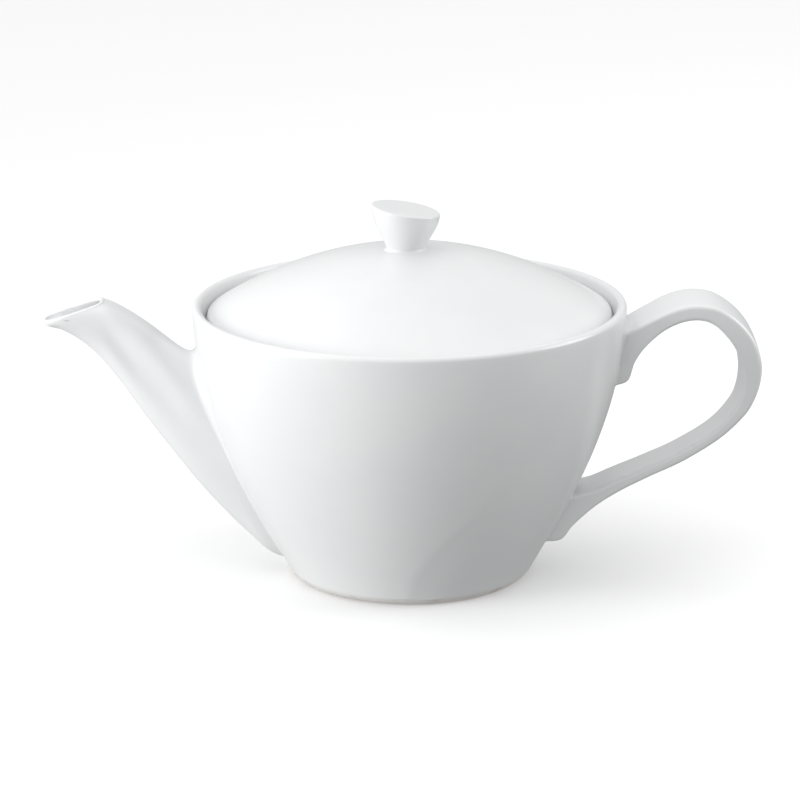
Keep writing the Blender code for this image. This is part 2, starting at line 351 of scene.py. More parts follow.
@dataclass(frozen=True)
class BarePorcelain:
    """Unglazed fired porcelain, fine and dry, a little soiled where it stands.

    Attributes:
        name: The material's name.
        clean: Colour of the clean body.
        worn: Colour of the rubbed patches.
    """

    name: str
    clean: Colour = (0.74, 0.725, 0.70)
    worn: Colour = (0.60, 0.575, 0.54)

    def make(self) -> bpy.types.Material:
        """Makes the material.

        Returns:
            The finished material.
        """
        material, sheet, shader = new_material(self.name)
        place = sheet.place()
        rubbed = sheet.noise(place, 9 * MM, 3.0).limited(0.45, 0.75)
        grain = sheet.noise(place, 0.25 * MM, 2.0)
        sheet.feed(shader, {
            "Base Color": sheet.blend(rubbed, self.clean, self.worn),
            "Roughness": 0.86 - 0.12 * rubbed,
            "Normal": sheet.bump(grain, 0.03 * MM),
            "IOR": 1.45,
        })
        return material


@dataclass(frozen=True)
class StudioPaper:
    """Matt white paper for the floor.

    Attributes:
        name: The material's name.
        colour: The paper's colour.
    """

    name: str
    colour: Colour = (0.94, 0.94, 0.94)

    def make(self) -> bpy.types.Material:
        """Makes the material.

        Returns:
            The finished material.
        """
        material, sheet, shader = new_material(self.name)
        fibre = sheet.noise(sheet.place(), 0.8 * MM, 2.0)
        lighter = tuple(min(1.0, c + 0.015) for c in self.colour)
        sheet.feed(shader, {
            "Base Color": sheet.blend(fibre, self.colour, lighter),
            "Roughness": 0.9,
            "Specular IOR Level": 0.0,
        })
        return material


# --------------------------------------------------------------------------------------
# Shapes
# --------------------------------------------------------------------------------------


def smooth(value: float, low: float, high: float) -> float:
    """Rises from 0 at low to 1 at high with a soft start and end."""
    t = min(1.0, max(0.0, (value - low) / (high - low)))
    return t * t * (3 - 2 * t)


def bezier(start: Vector, lower: Vector, upper: Vector, end: Vector, steps: int) -> list[Vector]:
    """Points on a Bezier curve in the (radius, height) plane.

    Args:
        start: The first end.
        lower: The handle of the first end.
        upper: The handle of the second end.
        end: The second end.
        steps: How many pieces the curve is cut into.

    Returns:
        The points, both ends among them.
    """
    knots = [p.to_3d() for p in (start, lower, upper, end)]
    return [p.to_2d() for p in interpolate_bezier(*knots, steps + 1)]


def arc(centre: Vector, radius: float, start: float, end: float, steps: int) -> list[Vector]:
    """Points on an arc in the (radius, height) plane.

    Args:
        centre: The arc's centre.
        radius: Its radius.
        start: Its first angle in degrees.
        end: Its last angle in degrees.
        steps: How many pieces it is cut into.

    Returns:
        The points, both ends among them.
    """
    points = []
    for i in range(steps + 1):
        angle = math.radians(start + (end - start) * i / steps)
        points.append(centre + radius * Vector((math.cos(angle), math.sin(angle))))
    return points


def rounded(corners: Sequence[tuple[Flat, float]], steps: int = 4) -> list[Vector]:
    """Rounds the corners of an outline.

    Args:
        corners: Each corner's (radius, height) and how far back its rounding starts.
        steps: How many pieces each rounding is cut into.

    Returns:
        The outline's points; a corner with no rounding stays as it is.
    """
    points: list[Vector] = []
    places = [Vector(place) for place, _ in corners]
    for i, (_, reach) in enumerate(corners):
        corner = places[i]
        if reach <= 0 or i in (0, len(corners) - 1):
            points.append(corner)
            continue
        before = corner + (places[i - 1] - corner).normalized() * reach
        after = corner + (places[i + 1] - corner).normalized() * reach
        points += bezier(
            before, before.lerp(corner, 0.6), after.lerp(corner, 0.6), after, steps
        )
    return points


def spline(knots: Sequence[Sequence[float]], t: float) -> list[float]:
    """A Catmull-Rom curve through rows of numbers.

    Args:
        knots: The rows that it passes through.
        t: The place on the curve: 0 is the first row, 1 the second, and so on.

    Returns:
        The numbers at that place.
    """
    last = len(knots) - 1
    i = min(last - 1, max(0, int(t)))
    f = t - i
    rows = [knots[max(0, i - 1)], knots[i], knots[i + 1], knots[min(last, i + 2)]]
    return [
        b + 0.5 * f * (c - a + f * (2 * a - 5 * b + 4 * c - d + f * (3 * (b - c) + d - a)))
        for a, b, c, d in zip(*rows)
    ]


def turned(outline: Sequence[Vector], steps: int, axis: float) -> bmesh.types.BMesh:
    """Spins a (radius, height) outline into a closed solid.

    Args:
        outline: The half section, which starts and ends on the axis or runs back to its start.
        steps: How many steps the turn has.
        axis: The X of the upright axis.

    Returns:
        The solid.
    """
    bm = bmesh.new()
    verts = [bm.verts.new((axis + r, 0, z)) for r, z in outline]
    edges = [bm.edges.new(pair) for pair in zip(verts, verts[1:])]
    if outline[0].x > MERGE or outline[-1].x > MERGE:
        edges.append(bm.edges.new((verts[-1], verts[0])))
    bmesh.ops.spin(
        bm, geom=verts + edges, cent=(axis, 0, 0), axis=(0, 0, 1), angle=math.tau, steps=steps,
        use_merge=True,
    )
    bmesh.ops.remove_doubles(bm, verts=bm.verts, dist=MERGE)
    bmesh.ops.recalc_face_normals(bm, faces=bm.faces)
    return bm


class RingSkin:
    """A skin that grows ring by ring."""

    def __init__(self, first: Sequence[Vector]) -> None:
        """Starts the skin with a circle that is moved onto the first ring.

        Args:
            first: The first ring's points.
        """
        self.bm = bmesh.new()
        self.rim = bmesh.ops.create_circle(self.bm, segments=len(first), radius=1.0)["verts"]
        self.place(first)

    def place(self, ring: Sequence[Vector]) -> None:
        """Moves the rim onto a ring of points."""
        for vert, point in zip(self.rim, ring):
            vert.co = point

    def grow(self, ring: Sequence[Vector]) -> None:
        """Extrudes the rim and moves it onto the next ring.

        Args:
            ring: The next ring's points.
        """
        pairs = zip(self.rim, self.rim[1:] + self.rim[:1])
        edges = [self.bm.edges.get(pair) for pair in pairs]
        grown = bmesh.ops.extrude_edge_only(self.bm, edges=edges)
        new = {v for v in grown["geom"] if isinstance(v, bmesh.types.BMVert)}
        rim = []
        for vert in self.rim:
            ahead = (edge.other_vert(vert) for edge in vert.link_edges)
            rim.append(next(v for v in ahead if v in new))
        self.rim = rim
        self.place(ring)

    def finished(self) -> bmesh.types.BMesh:
        """Merges what meets, closes what is open and turns the faces outwards.

        Returns:
            The closed skin.
        """
        bmesh.ops.remove_doubles(self.bm, verts=self.bm.verts, dist=MERGE)
        open_edges = [e for e in self.bm.edges if e.is_boundary]
        if open_edges:
            bmesh.ops.holes_fill(self.bm, edges=open_edges, sides=0)
        bmesh.ops.recalc_face_normals(self.bm, faces=self.bm.faces)
        return self.bm


def new_object(name: str, bm: bmesh.types.BMesh) -> bpy.types.Object:
    """Makes an object from a bmesh and frees the bmesh.

    Args:
        name: The object's name.
        bm: Its shape, in the frame's own place.

    Returns:
        The object, linked to the scene.
    """
    mesh = bpy.data.meshes.new(name)
    bm.to_mesh(mesh)
    bm.free()
    thing = bpy.data.objects.new(name, mesh)
    bpy.context.scene.collection.objects.link(thing)
    return thing


def drilled(thing: bpy.types.Object, drill: bmesh.types.BMesh) -> None:
    """Takes a shape out of an object and leaves the result in its mesh.

    Args:
        thing: The object to drill.
        drill: The shape that is taken out.
    """
    cutter = new_object("drill", drill)
    hole = thing.modifiers.new("drill", "BOOLEAN")
    hole.operation = "DIFFERENCE"
    hole.solver = "EXACT"
    hole.object = cutter
    graph = bpy.context.evaluated_depsgraph_get()
    mesh = bpy.data.meshes.new_from_object(thing.evaluated_get(graph))
    thing.modifiers.remove(hole)
    blank = thing.data
    thing.data = mesh
    mesh.name = thing.name
    bpy.data.meshes.remove(blank)
    bpy.data.objects.remove(cutter)


def finish_piece(
    thing: bpy.types.Object, body: Body, slot: Slot, material: bpy.types.Material, *nodes: str
) -> bpy.types.Object:
    """Shades, dresses and seats a piece, and reports it.

    Args:
        thing: The piece.
        body: The body that it rides on.
        slot: The record's slot that its finish belongs to. Not used.
        material: Its finish.
        nodes: The frame's nodes that it stands for.

    Returns:
        The piece.
    """
    thing.data.shade_smooth()
    thing.data.set_sharp_from_angle(angle=math.radians(38))
    thing.data.materials.clear()
    thing.data.materials.append(material)
    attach(thing, body.value)
    if nodes:
        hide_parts(*nodes)
    log.info("%s: %d faces, on %s", thing.name, len(thing.data.polygons), body.value)
    return thing


# --------------------------------------------------------------------------------------
# The bowl's wall, which everything grows from
# --------------------------------------------------------------------------------------


@dataclass(frozen=True)
class Wall:
    """The bowl's outer wall as a curve of radius over height.

    Attributes:
        axis: The X of the pot's axis.
        rim_radius: Radius of the rim.
        rim_height: Height of the rim.
        lip_radius: Radius of the rounded lip.
        start: Where the wall starts, above the foot.
        lower: Handle of the wall's curve at the start.
        upper: Handle of the wall's curve at the rim.
    """

    axis: float
    rim_radius: float
    rim_height: float
    lip_radius: float = 1.75 * MM
    start: Flat = (45.6 * MM, 3.0 * MM)
    lower: Flat = (55.7 * MM, 22.3 * MM)
    upper: Flat = (78.7 * MM, 56.6 * MM)

    def outline(self, steps: int) -> list[Vector]:
        """The wall from the foot to the lip, cut into so many steps."""
        end = Vector((self.rim_radius, self.rim_height - self.lip_radius))
        return bezier(Vector(self.start), Vector(self.lower), Vector(self.upper), end, steps)

    @cached_property
    def table(self) -> tuple[list[float], list[float]]:
        """Heights and radii of the wall, close enough together to read between."""
        points = self.outline(600)
        return [p.y for p in points], [p.x for p in points]

    def radius(self, height: float) -> float:
        """The wall's radius at a height; above the lip's centre it stays the rim's.

        Args:
            height: The height.

        Returns:
            The radius.
        """
        heights, radii = self.table
        i = min(len(heights) - 1, max(1, bisect_left(heights, height)))
        t = (height - heights[i - 1]) / (heights[i] - heights[i - 1])
        return radii[i - 1] + min(1.0, max(-2.0, t)) * (radii[i] - radii[i - 1])

    def proud(self, point: Vector) -> float:
        """How far a point lies outside the wall, measured level; inside is negative."""
        return math.hypot(point.x - self.axis, point.y) - self.radius(point.z)

    def normal(self, point: Vector) -> Vector:
        """The wall's outward direction next to a point.

        Args:
            point: The point.

        Returns:
            The direction, of length 1.
        """
        out = Vector((point.x - self.axis, point.y, 0)).normalized()
        step = 0.2 * MM
        rise = (self.radius(point.z + step) - self.radius(point.z - step)) / (2 * step)
        return (out - Vector((0, 0, rise))).normalized()

    def onto(self, point: Vector, lift: float = 0.0) -> Vector:
        """Moves a point onto the wall.

        Args:
            point: The point.
            lift: How far off the wall it ends, outwards.

        Returns:
            The moved point.
        """
        out = Vector((point.x - self.axis, point.y, 0)).normalized()
        foot = Vector((self.axis, 0, point.z)) + out * self.radius(point.z)
        return foot + self.normal(foot) * lift

    def leaves(self, line: Line, inside: float, outside: float) -> float:
        """Finds where a line passes through the wall.

        Args:
            line: The line.
            inside: A place on it that lies inside the wall.
            outside: A place on it that lies outside.

        Returns:
            The place between them where it meets the wall.
        """
        for _ in range(40):
            middle = (inside + outside) / 2
            if self.proud(line(middle)) < 0:
                inside = middle
            else:
                outside = middle
        return (inside + outside) / 2

    def fillets(
        self, lines: Sequence[Line], leaving: Sequence[float], outwards: float,
        reach: Callable[[Vector], float], steps: int,
    ) -> tuple[list[list[Vector]], list[float]]:
        """Rounds a bundle of lines into the wall.

        Args:
            lines: The lines, in order round their bundle.
            leaving: Where each meets the wall.
            outwards: 1 where a line runs outwards as its number rises, or else -1.
            reach: How far the fillet reaches from a point where a line meets the wall.
            steps: How many pieces each fillet is cut into.

        Returns:
            Each line's fillet, from just under the wall's surface to the line, and the place
            on each line where its fillet ends.
        """
        corners = [self.onto(line(t)) for line, t in zip(lines, leaving)]
        centre = sum(corners, Vector()) / len(corners)
        fillets = []
        ends = []
        count = len(lines)
        for i, (line, t, corner) in enumerate(zip(lines, leaving, corners)):
            normal = self.normal(corner)
            along = corners[(i + 1) % count] - corners[i - 1]
            spread = along.cross(normal).normalized()
            if spread.dot(corner - centre) < 0:
                spread.negate()
            wide = reach(corner)
            nudge = 0.001
            rate = (line(t + outwards * nudge) - line(t)).length / nudge
            end = t + outwards * wide / rate
            landing = self.onto(corner + spread * wide)
            points = [landing - normal * 0.9 * MM]
            for k in range(steps + 1):
                f = k / steps
                points.append(
                    landing * (1 - f) ** 2 + corner * 2 * f * (1 - f) + line(end) * f * f
                )
            fillets.append(points)
            ends.append(end)
        return fillets, ends


# --------------------------------------------------------------------------------------
# Sub-assemblies
# --------------------------------------------------------------------------------------


@dataclass
class Bowl:
    """The turned bowl with its lid seat, its strainer and the soft fold in its wall.

    Attributes:
        wall: The outer wall.
        floor_under: Height of the underside.
        seat_height: Height of the ledge that carries the lid.
        seat_radius: Radius of the ledge's inner edge.
        thickness: Thickness of the wall.
        floor_height: Height of the floor inside.
        floor_radius: Radius of the floor's flat.
        seat_root: Height where the ledge's underside leaves the inner wall.
        seat_wall: Radius of the upright wall round the ledge.
        fold: (height, angle from the handle in degrees) along the fold, foot to rim.
        fold_depth: How far the wall sinks beside the fold.
        fold_breadth: Breadth of the slope beside the fold.
        fold_length: How far round the wall the sunk side reaches.
        fold_end: Heights between which the fold dies out.
        ridge_height: How far the fold's edge stands proud.
        ridge_breadth: Breadth of the fold's edge.
        strainer_rows: Heights of the strainer's rows of holes, in millimetres.
        strainer_side: How far the outer holes stand from the middle ones.
        strainer_stagger: How far the outer holes stand above the middle ones.
        strainer_hole: Radius of a hole.
        steps: Facets round the bowl.
    """

    wall: Wall
    floor_under: float
    seat_height: float
    seat_radius: float = 71.4 * MM
    thickness: float = 4.2 * MM
    floor_height: float = 7.5 * MM
    floor_radius: float = 30.0 * MM
    seat_root: float = 88.5 * MM
    seat_wall: float = 75.2 * MM
    fold: tuple[Flat, ...] = ((3, 92), (17, 87), (44, 67), (70, 54), (103, 44))
    fold_depth: float = 0.22 * MM
    fold_breadth: float = 5 * MM
    fold_length: float = 26 * MM
    fold_end: Flat = (84 * MM, 100 * MM)
    ridge_height: float = 0.06 * MM
    ridge_breadth: float = 3.0 * MM
    strainer_rows: tuple[int, ...] = (30, 39, 48, 57, 66)
    strainer_side: float = 6.4 * MM
    strainer_stagger: float = 4.5 * MM
    strainer_hole: float = 2.1 * MM
    steps: int = 320

    def outline(self) -> list[Vector]:
        """The half section: underside, wall, lip, seat, inner wall and floor.

        Returns:
            The outline, from the axis under the floor to the axis above it.
        """
        wall = self.wall.outline(80)
        lip = Vector((
            self.wall.rim_radius - self.wall.lip_radius,
            self.wall.rim_height - self.wall.lip_radius,
        ))
        inner = []
        for before, point, after in zip(wall, wall[1:], wall[2:]):
            ahead = (after - before).normalized()
            moved = point - self.thickness * Vector((ahead.y, -ahead.x))
            if 20 * MM < moved.y < self.seat_root:
                inner.append(moved)
        inner = inner[::-2]
        seat = rounded((
            ((self.wall.rim_radius - 2 * self.wall.lip_radius, lip.y), 0),
            ((self.seat_wall, self.seat_height + 1.0 * MM), 0.5 * MM),
            ((self.seat_wall, self.seat_height), 0.4 * MM),
            ((self.seat_radius, self.seat_height), 0.7 * MM),
            ((self.seat_radius, self.seat_height - 2.6 * MM), 0.5 * MM),
            (tuple(inner[0]), 0),
        ))
        fillet = bezier(
            inner[-1], inner[-1] + (inner[-1] - inner[-2]) * 3,
            Vector((self.floor_radius + 12 * MM, self.floor_height)),
            Vector((self.floor_radius, self.floor_height)), 14,
        )
        base = [
            Vector((0, self.floor_under)),
            Vector((30 * MM, self.floor_under)),
            Vector((self.wall.start[0] - 0.9 * MM, self.floor_under)),
            Vector((self.wall.start[0] - 0.25 * MM, self.floor_under + 0.06 * MM)),
        ]
        floor = [Vector((18 * MM, self.floor_height)), Vector((0, self.floor_height))]
        return (
            base + wall[:-1] + arc(lip, self.wall.lip_radius, 0, 180, 16) + seat[1:-1] + inner
            + fillet[1:] + floor
        )

    def folded(self, bm: bmesh.types.BMesh) -> None:
        """Presses the soft fold into the outer wall, on both sides alike.

        Args:
            bm: The turned bowl.
        """
        heights = [height * MM for height, _ in self.fold]
        for vert in bm.verts:
            if abs(self.wall.proud(vert.co)) > 0.05 * MM or vert.co.z < self.wall.start[1]:
                continue
            i = min(len(heights) - 2, max(0, bisect_left(heights, vert.co.z) - 1))
            place = i + (vert.co.z - heights[i]) / (heights[i + 1] - heights[i])
            line = math.radians(spline(self.fold, place)[1])
            angle = abs(math.atan2(vert.co.y, vert.co.x - self.wall.axis))
            past = (line - angle) * self.wall.radius(vert.co.z)
            fade = 1 - smooth(vert.co.z, *self.fold_end)
            ridge = self.ridge_height * math.exp(-((past / self.ridge_breadth) ** 2))
            sunk = 0.0
            if past > 0:
                sunk = self.fold_depth * (1 - math.exp(-((past / self.fold_breadth) ** 2)))
                sunk *= math.exp(-past / self.fold_length)
            vert.co += self.wall.normal(vert.co) * (ridge - sunk) * fade

    def strainer(self) -> bmesh.types.BMesh:
        """The drill for the strainer: staggered rows of holes.

        Returns:
            The drill, a pin for each hole.
        """
        bm = bmesh.new()
        inside = self.wall.axis - 0.85 * self.wall.rim_radius
        for row in self.strainer_rows:
            height = row * MM
            places = [(0.0, height)]
            if row != self.strainer_rows[-1]:
                outer = height + self.strainer_stagger
                places += [(side * self.strainer_side, outer) for side in (-1, 1)]
            for across, up in places:
                spot = Matrix.Translation((inside, across, up))
                bmesh.ops.create_cone(
                    bm, cap_ends=True, segments=32, radius1=self.strainer_hole,
                    radius2=self.strainer_hole, depth=36 * MM,
                    matrix=spot @ Matrix.Rotation(math.pi / 2, 4, "Y"),
                )
        return bm

    def build(self) -> bpy.types.Object:
        """Builds and dresses the bowl.

        Returns:
            The finished piece.
        """
        bm = turned(self.outline(), self.steps, self.wall.axis)
        self.folded(bm)
        bowl = new_object("bowl", bm)
        drilled(bowl, self.strainer())
        glaze = GlazedPorcelain("bowl_glaze", line_depth=0.010 * MM)
        return finish_piece(bowl, Body.POT, Slot.GLAZED, glaze.make(), "pot_body")


@dataclass
class FootRing:
    """The bare ring that the pot stands on.

    Attributes:
        axis: The X of the pot's axis.
        top_radius: Radius where it meets the glaze.
        height: Height of the ring, up to the glazed underside.
        contact: Radii between which it touches the table.
        inner: Radii of its inner side, low and high.
        steps: Facets round the ring.
    """

    axis: float
    top_radius: float
    height: float
    contact: Flat = (38.0 * MM, 41.8 * MM)
    inner: Flat = (37.2 * MM, 36.6 * MM)
    steps: int = 192

    def build(self) -> bpy.types.Object:
        """Builds and dresses the ring.

        Returns:
            The finished piece.
        """
        outline = rounded((
            ((self.inner[0], 0.6 * self.height), 0),
            ((self.contact[0], 0.0), 0.6 * MM),
            ((self.contact[1], 0.0), 0.6 * MM),
            ((self.top_radius - 1.2 * MM, 1.0 * MM), 0.9 * MM),
            ((self.top_radius + 0.15 * MM, self.height), 0.25 * MM),
            ((self.inner[1], self.height), 0),
        ))
        ring = new_object("foot", turned(outline, self.steps, self.axis))
        finish = BarePorcelain("foot_bisque")
        return finish_piece(ring, Body.POT, Slot.BARE, finish.make(), "foot_ring")


@dataclass(frozen=True)
class SpoutSection:
    """One section across the spout, in millimetres from the pot's axis and the table.

    Attributes:
        top: The top point's (X, Z).
        bottom: The bottom point's (X, Z).
        half_width: Half the width.
        roof: How far the channel lies under the top; past 0 the spout is open.
        side: How far the channel lies inside the rest.
        waist: How much the flanks draw in under the top.
    """

    top: Flat
    bottom: Flat
    half_width: float
    roof: float
    side: float
    waist: float = 0.0

    def row(self) -> tuple[float, ...]:
        """The section as one row of numbers."""
        return (*self.top, *self.bottom, self.half_width, self.roof, self.side, self.waist)


SPOUT = (
    SpoutSection((-72.0, 81.5), (-40.0, 3.6), 13.6, 3.4, 3.2),
    SpoutSection((-80.5, 84.2), (-51.2, 6.6), 13.4, 3.4, 3.2),
    SpoutSection((-86.0, 87.1), (-60.2, 14.6), 13.0, 3.3, 3.2, 0.02),
    SpoutSection((-91.2, 91.0), (-69.4, 24.0), 12.4, 3.2, 3.1, 0.05),
    SpoutSection((-96.3, 94.8), (-78.6, 34.6), 11.6, 3.0, 3.0, 0.09),
    SpoutSection((-101.2, 98.2), (-88.0, 47.0), 10.7, 2.9, 2.9, 0.12),
    SpoutSection((-106.2, 101.3), (-97.2, 59.6), 9.7, 2.8, 2.8, 0.14),
    SpoutSection((-110.6, 103.6), (-106.0, 72.6), 8.9, 2.5, 2.5, 0.14),
    SpoutSection((-115.2, 104.9), (-113.4, 82.4), 8.1, 0.4, 2.2, 0.08),
    SpoutSection((-121.4, 104.9), (-120.4, 89.1), 7.5, -2.0, 2.1, 0.04),
    SpoutSection((-128.4, 103.0), (-127.8, 93.8), 7.0, -3.0, 1.9),
    SpoutSection((-134.1, 99.5), (-134.3, 96.1), 5.7, -3.0, 1.5),
    SpoutSection((-134.4, 106.0), (-134.6, 102.6), 5.7, -3.0, 1.5),
)


@dataclass
class Spout:
    """The hollow spout: a lofted skin, an open beak with a rounded lip, and a slip fillet.

    Attributes:
        wall: The bowl's wall, which the spout grows from.
        sections: Its sections, root to tip, with one more turned up past the tip.
        tip: The beak's tip, as (X, Z) in millimetres.
        back: The back of the beak's opening, as (X, Z) in millimetres.
        lip: Radius of the rounded lip.
        lip_rise: Rise of the lip's curve, as a share of its radius.
        bluntness: How far the tip's sides stand back from its middle, in millimetres.
        around: Facets round the spout.
        stations: Rings along the skin, and along the channel.
        fullness: How full the sections are; 2 is an ellipse.
        shoulder: How much fuller a waisted section is over its upper half.
        waist_level: Level of the waist's middle, from 0 at half height to 1 at the top.
        waist_breadth: Breadth of the waist on that scale.
        fillet: Reach of the root's fillet at the foot, and what the rim adds, in millimetres.
        fillet_rise: Heights between which the fillet broadens.
    """

    wall: Wall
    sections: tuple[SpoutSection, ...] = SPOUT
    tip: Flat = (-134.5, 97.8)
    back: Flat = (-112.8, 105.0)
    lip: float = 0.85 * MM
    lip_rise: float = 1.25
    bluntness: float = 1.2
    around: int = 112
    stations: tuple[int, int] = (70, 50)
    fullness: float = 2.2
    shoulder: float = 14.0
    waist_level: float = 0.3
    waist_breadth: float = 0.45
    fillet: Flat = (1.3, 6.0)
    fillet_rise: Flat = (46 * MM, 80 * MM)

    def point(self, t: float, angle: float, inside: bool) -> Vector:
        """A point on the spout's skin or on its channel.

        Args:
            t: The place along the sections.
            angle: The place round the section, 0 at the top.
            inside: True for the channel.

        Returns:
            The point.
        """
        tx, tz, bx, bz, width, roof, side, waist = spline([s.row() for s in self.sections], t)
        top = Vector((tx, 0, tz))
        bottom = Vector((bx, 0, bz))
        up = (top - bottom).normalized()
        if inside:
            top -= up * roof
            bottom += up * side
            width -= side
        c, s = math.cos(angle), math.sin(angle)
        power = self.fullness + (self.shoulder * waist if c > 0 else 0.0)
        spread = (abs(c) ** power + abs(s) ** power) ** (-1 / power)
        rise, reach = c * spread, s * spread
        drawn = 1 - waist * math.exp(-(((rise - self.waist_level) / self.waist_breadth) ** 2))
        bow = self.bluntness * smooth(t, 10, 11) * reach * reach
        place = (top + bottom) / 2 + (top - bottom) / 2 * rise
        place += Vector((bow, width * reach * drawn, 0))
        return place * MM + Vector((self.wall.axis, 0, 0))

    def under_mouth(self, point: Vector) -> float:
        """How far a point lies under the mouth's plane.

        Args:
            point: The point.

        Returns:
            The distance, negative above the plane.
        """
        tip = Vector((self.wall.axis + self.tip[0] * MM, 0, self.tip[1] * MM))
        slope = Vector((self.back[0] - self.tip[0], 0, self.back[1] - self.tip[1])).normalized()
        return -(point - tip).dot(self.mouth_normal(slope))

    @staticmethod
    def mouth_normal(slope: Vector) -> Vector:
        """The direction out of the mouth's plane, from its slope."""
        return Vector((-slope.z, 0, slope.x))

    def meets_mouth(self, line: Line) -> float:
        """Finds the place where a line comes up to the lip, just under the mouth's plane.

        Args:
            line: A line along the spout's skin or its channel.

        Returns:
            The place on the line.
        """
        step = 0.05
        t = 5.0
        last = len(self.sections) - 1
        while t < last and self.under_mouth(line(t)) > self.lip:
            t += step
        low, high = t - step, t
        for _ in range(30):
            middle = (low + high) / 2
            if self.under_mouth(line(middle)) > self.lip:
                low = middle
            else:
                high = middle
        return low

    def fillet_reach(self, corner: Vector) -> float:
        """Broad under the rim, tight down at the foot."""
        return (self.fillet[0] + self.fillet[1] * smooth(corner.z, *self.fillet_rise)) * MM

    def build(self) -> bpy.types.Object:
        """Builds and dresses the spout.

        Returns:
            The finished piece.
        """
        angles = [math.tau * i / self.around for i in range(self.around)]
        outer: list[Line] = [lambda t, a=a: self.point(t, a, False) for a in angles]
        inner: list[Line] = [lambda t, a=a: self.point(t, a, True) for a in angles]
        leaving = [self.wall.leaves(line, 0.0, 3.0) for line in outer]
        fillets, ends = self.wall.fillets(outer, leaving, 1.0, self.fillet_reach, 10)
        slope = Vector((self.back[0] - self.tip[0], 0, self.back[1] - self.tip[1])).normalized()
        rise = self.mouth_normal(slope) * self.lip * self.lip_rise
        out, back_in = self.stations
        columns = []
        for i in range(self.around):
            column = list(fillets[i])
            stop = self.meets_mouth(outer[i])
            column += [outer[i](ends[i] + (stop - ends[i]) * k / out) for k in range(1, out + 1)]
            back = self.meets_mouth(inner[i])
            edge, brim = outer[i](stop), inner[i](back)
            over = interpolate_bezier(edge, edge + rise, brim + rise, brim, 11)
            column += over[1:]
            root = self.wall.leaves(inner[i], 0.0, 3.0)
            column += [inner[i](back + (root - back) * k / back_in) for k in range(1, back_in)]
            column.append(self.wall.onto(inner[i](root), -1.2 * MM))
            columns.append(column)
        rings = list(zip(*columns))
        skin = RingSkin(rings[0])
        for ring in rings[1:] + rings[:1]:
            skin.grow(ring)
        spout = new_object("spout_shell", skin.finished())
        glaze = GlazedPorcelain("spout_glaze")
        return finish_piece(spout, Body.POT, Slot.GLAZED, glaze.make(), "spout")


STRAP = (
    (73.5, 91.0, 75.5, 73.6, 12.0),
    (80.3, 94.4, 80.2, 75.6, 12.2),
    (84.3, 96.6, 82.5, 82.4, 12.6),
    (88.8, 99.0, 86.3, 88.3, 13.0),
    (94.0, 101.7, 92.4, 94.0, 13.3),
    (99.6, 103.7, 98.8, 97.4, 13.5),
    (105.6, 104.4, 105.2, 98.5, 13.5),
    (112.8, 103.1, 110.8, 97.0, 13.3),
    (120.3, 98.2, 115.8, 92.5, 13.0),
    (126.1, 91.1, 119.6, 87.0, 12.5),
    (129.1, 82.6, 121.8, 81.0, 11.9),
    (129.1, 74.8, 122.4, 75.0, 11.2),
    (126.9, 67.2, 121.6, 69.0, 10.6),
    (123.0, 60.6, 119.1, 63.2, 10.1),
    (114.3, 52.1, 111.6, 55.0, 9.6),
    (101.0, 43.6, 98.9, 47.0, 9.5),
    (88.4, 37.7, 86.7, 41.3, 9.7),
    (77.2, 32.1, 75.3, 36.4, 10.1),
    (68.6, 26.6, 68.4, 33.2, 10.5),
    (60.6, 19.6, 63.0, 31.6, 10.9),
    (55.6, 13.8, 57.8, 30.2, 11.0),
    (47.5, 13.4, 51.0, 28.6, 11.0),
)


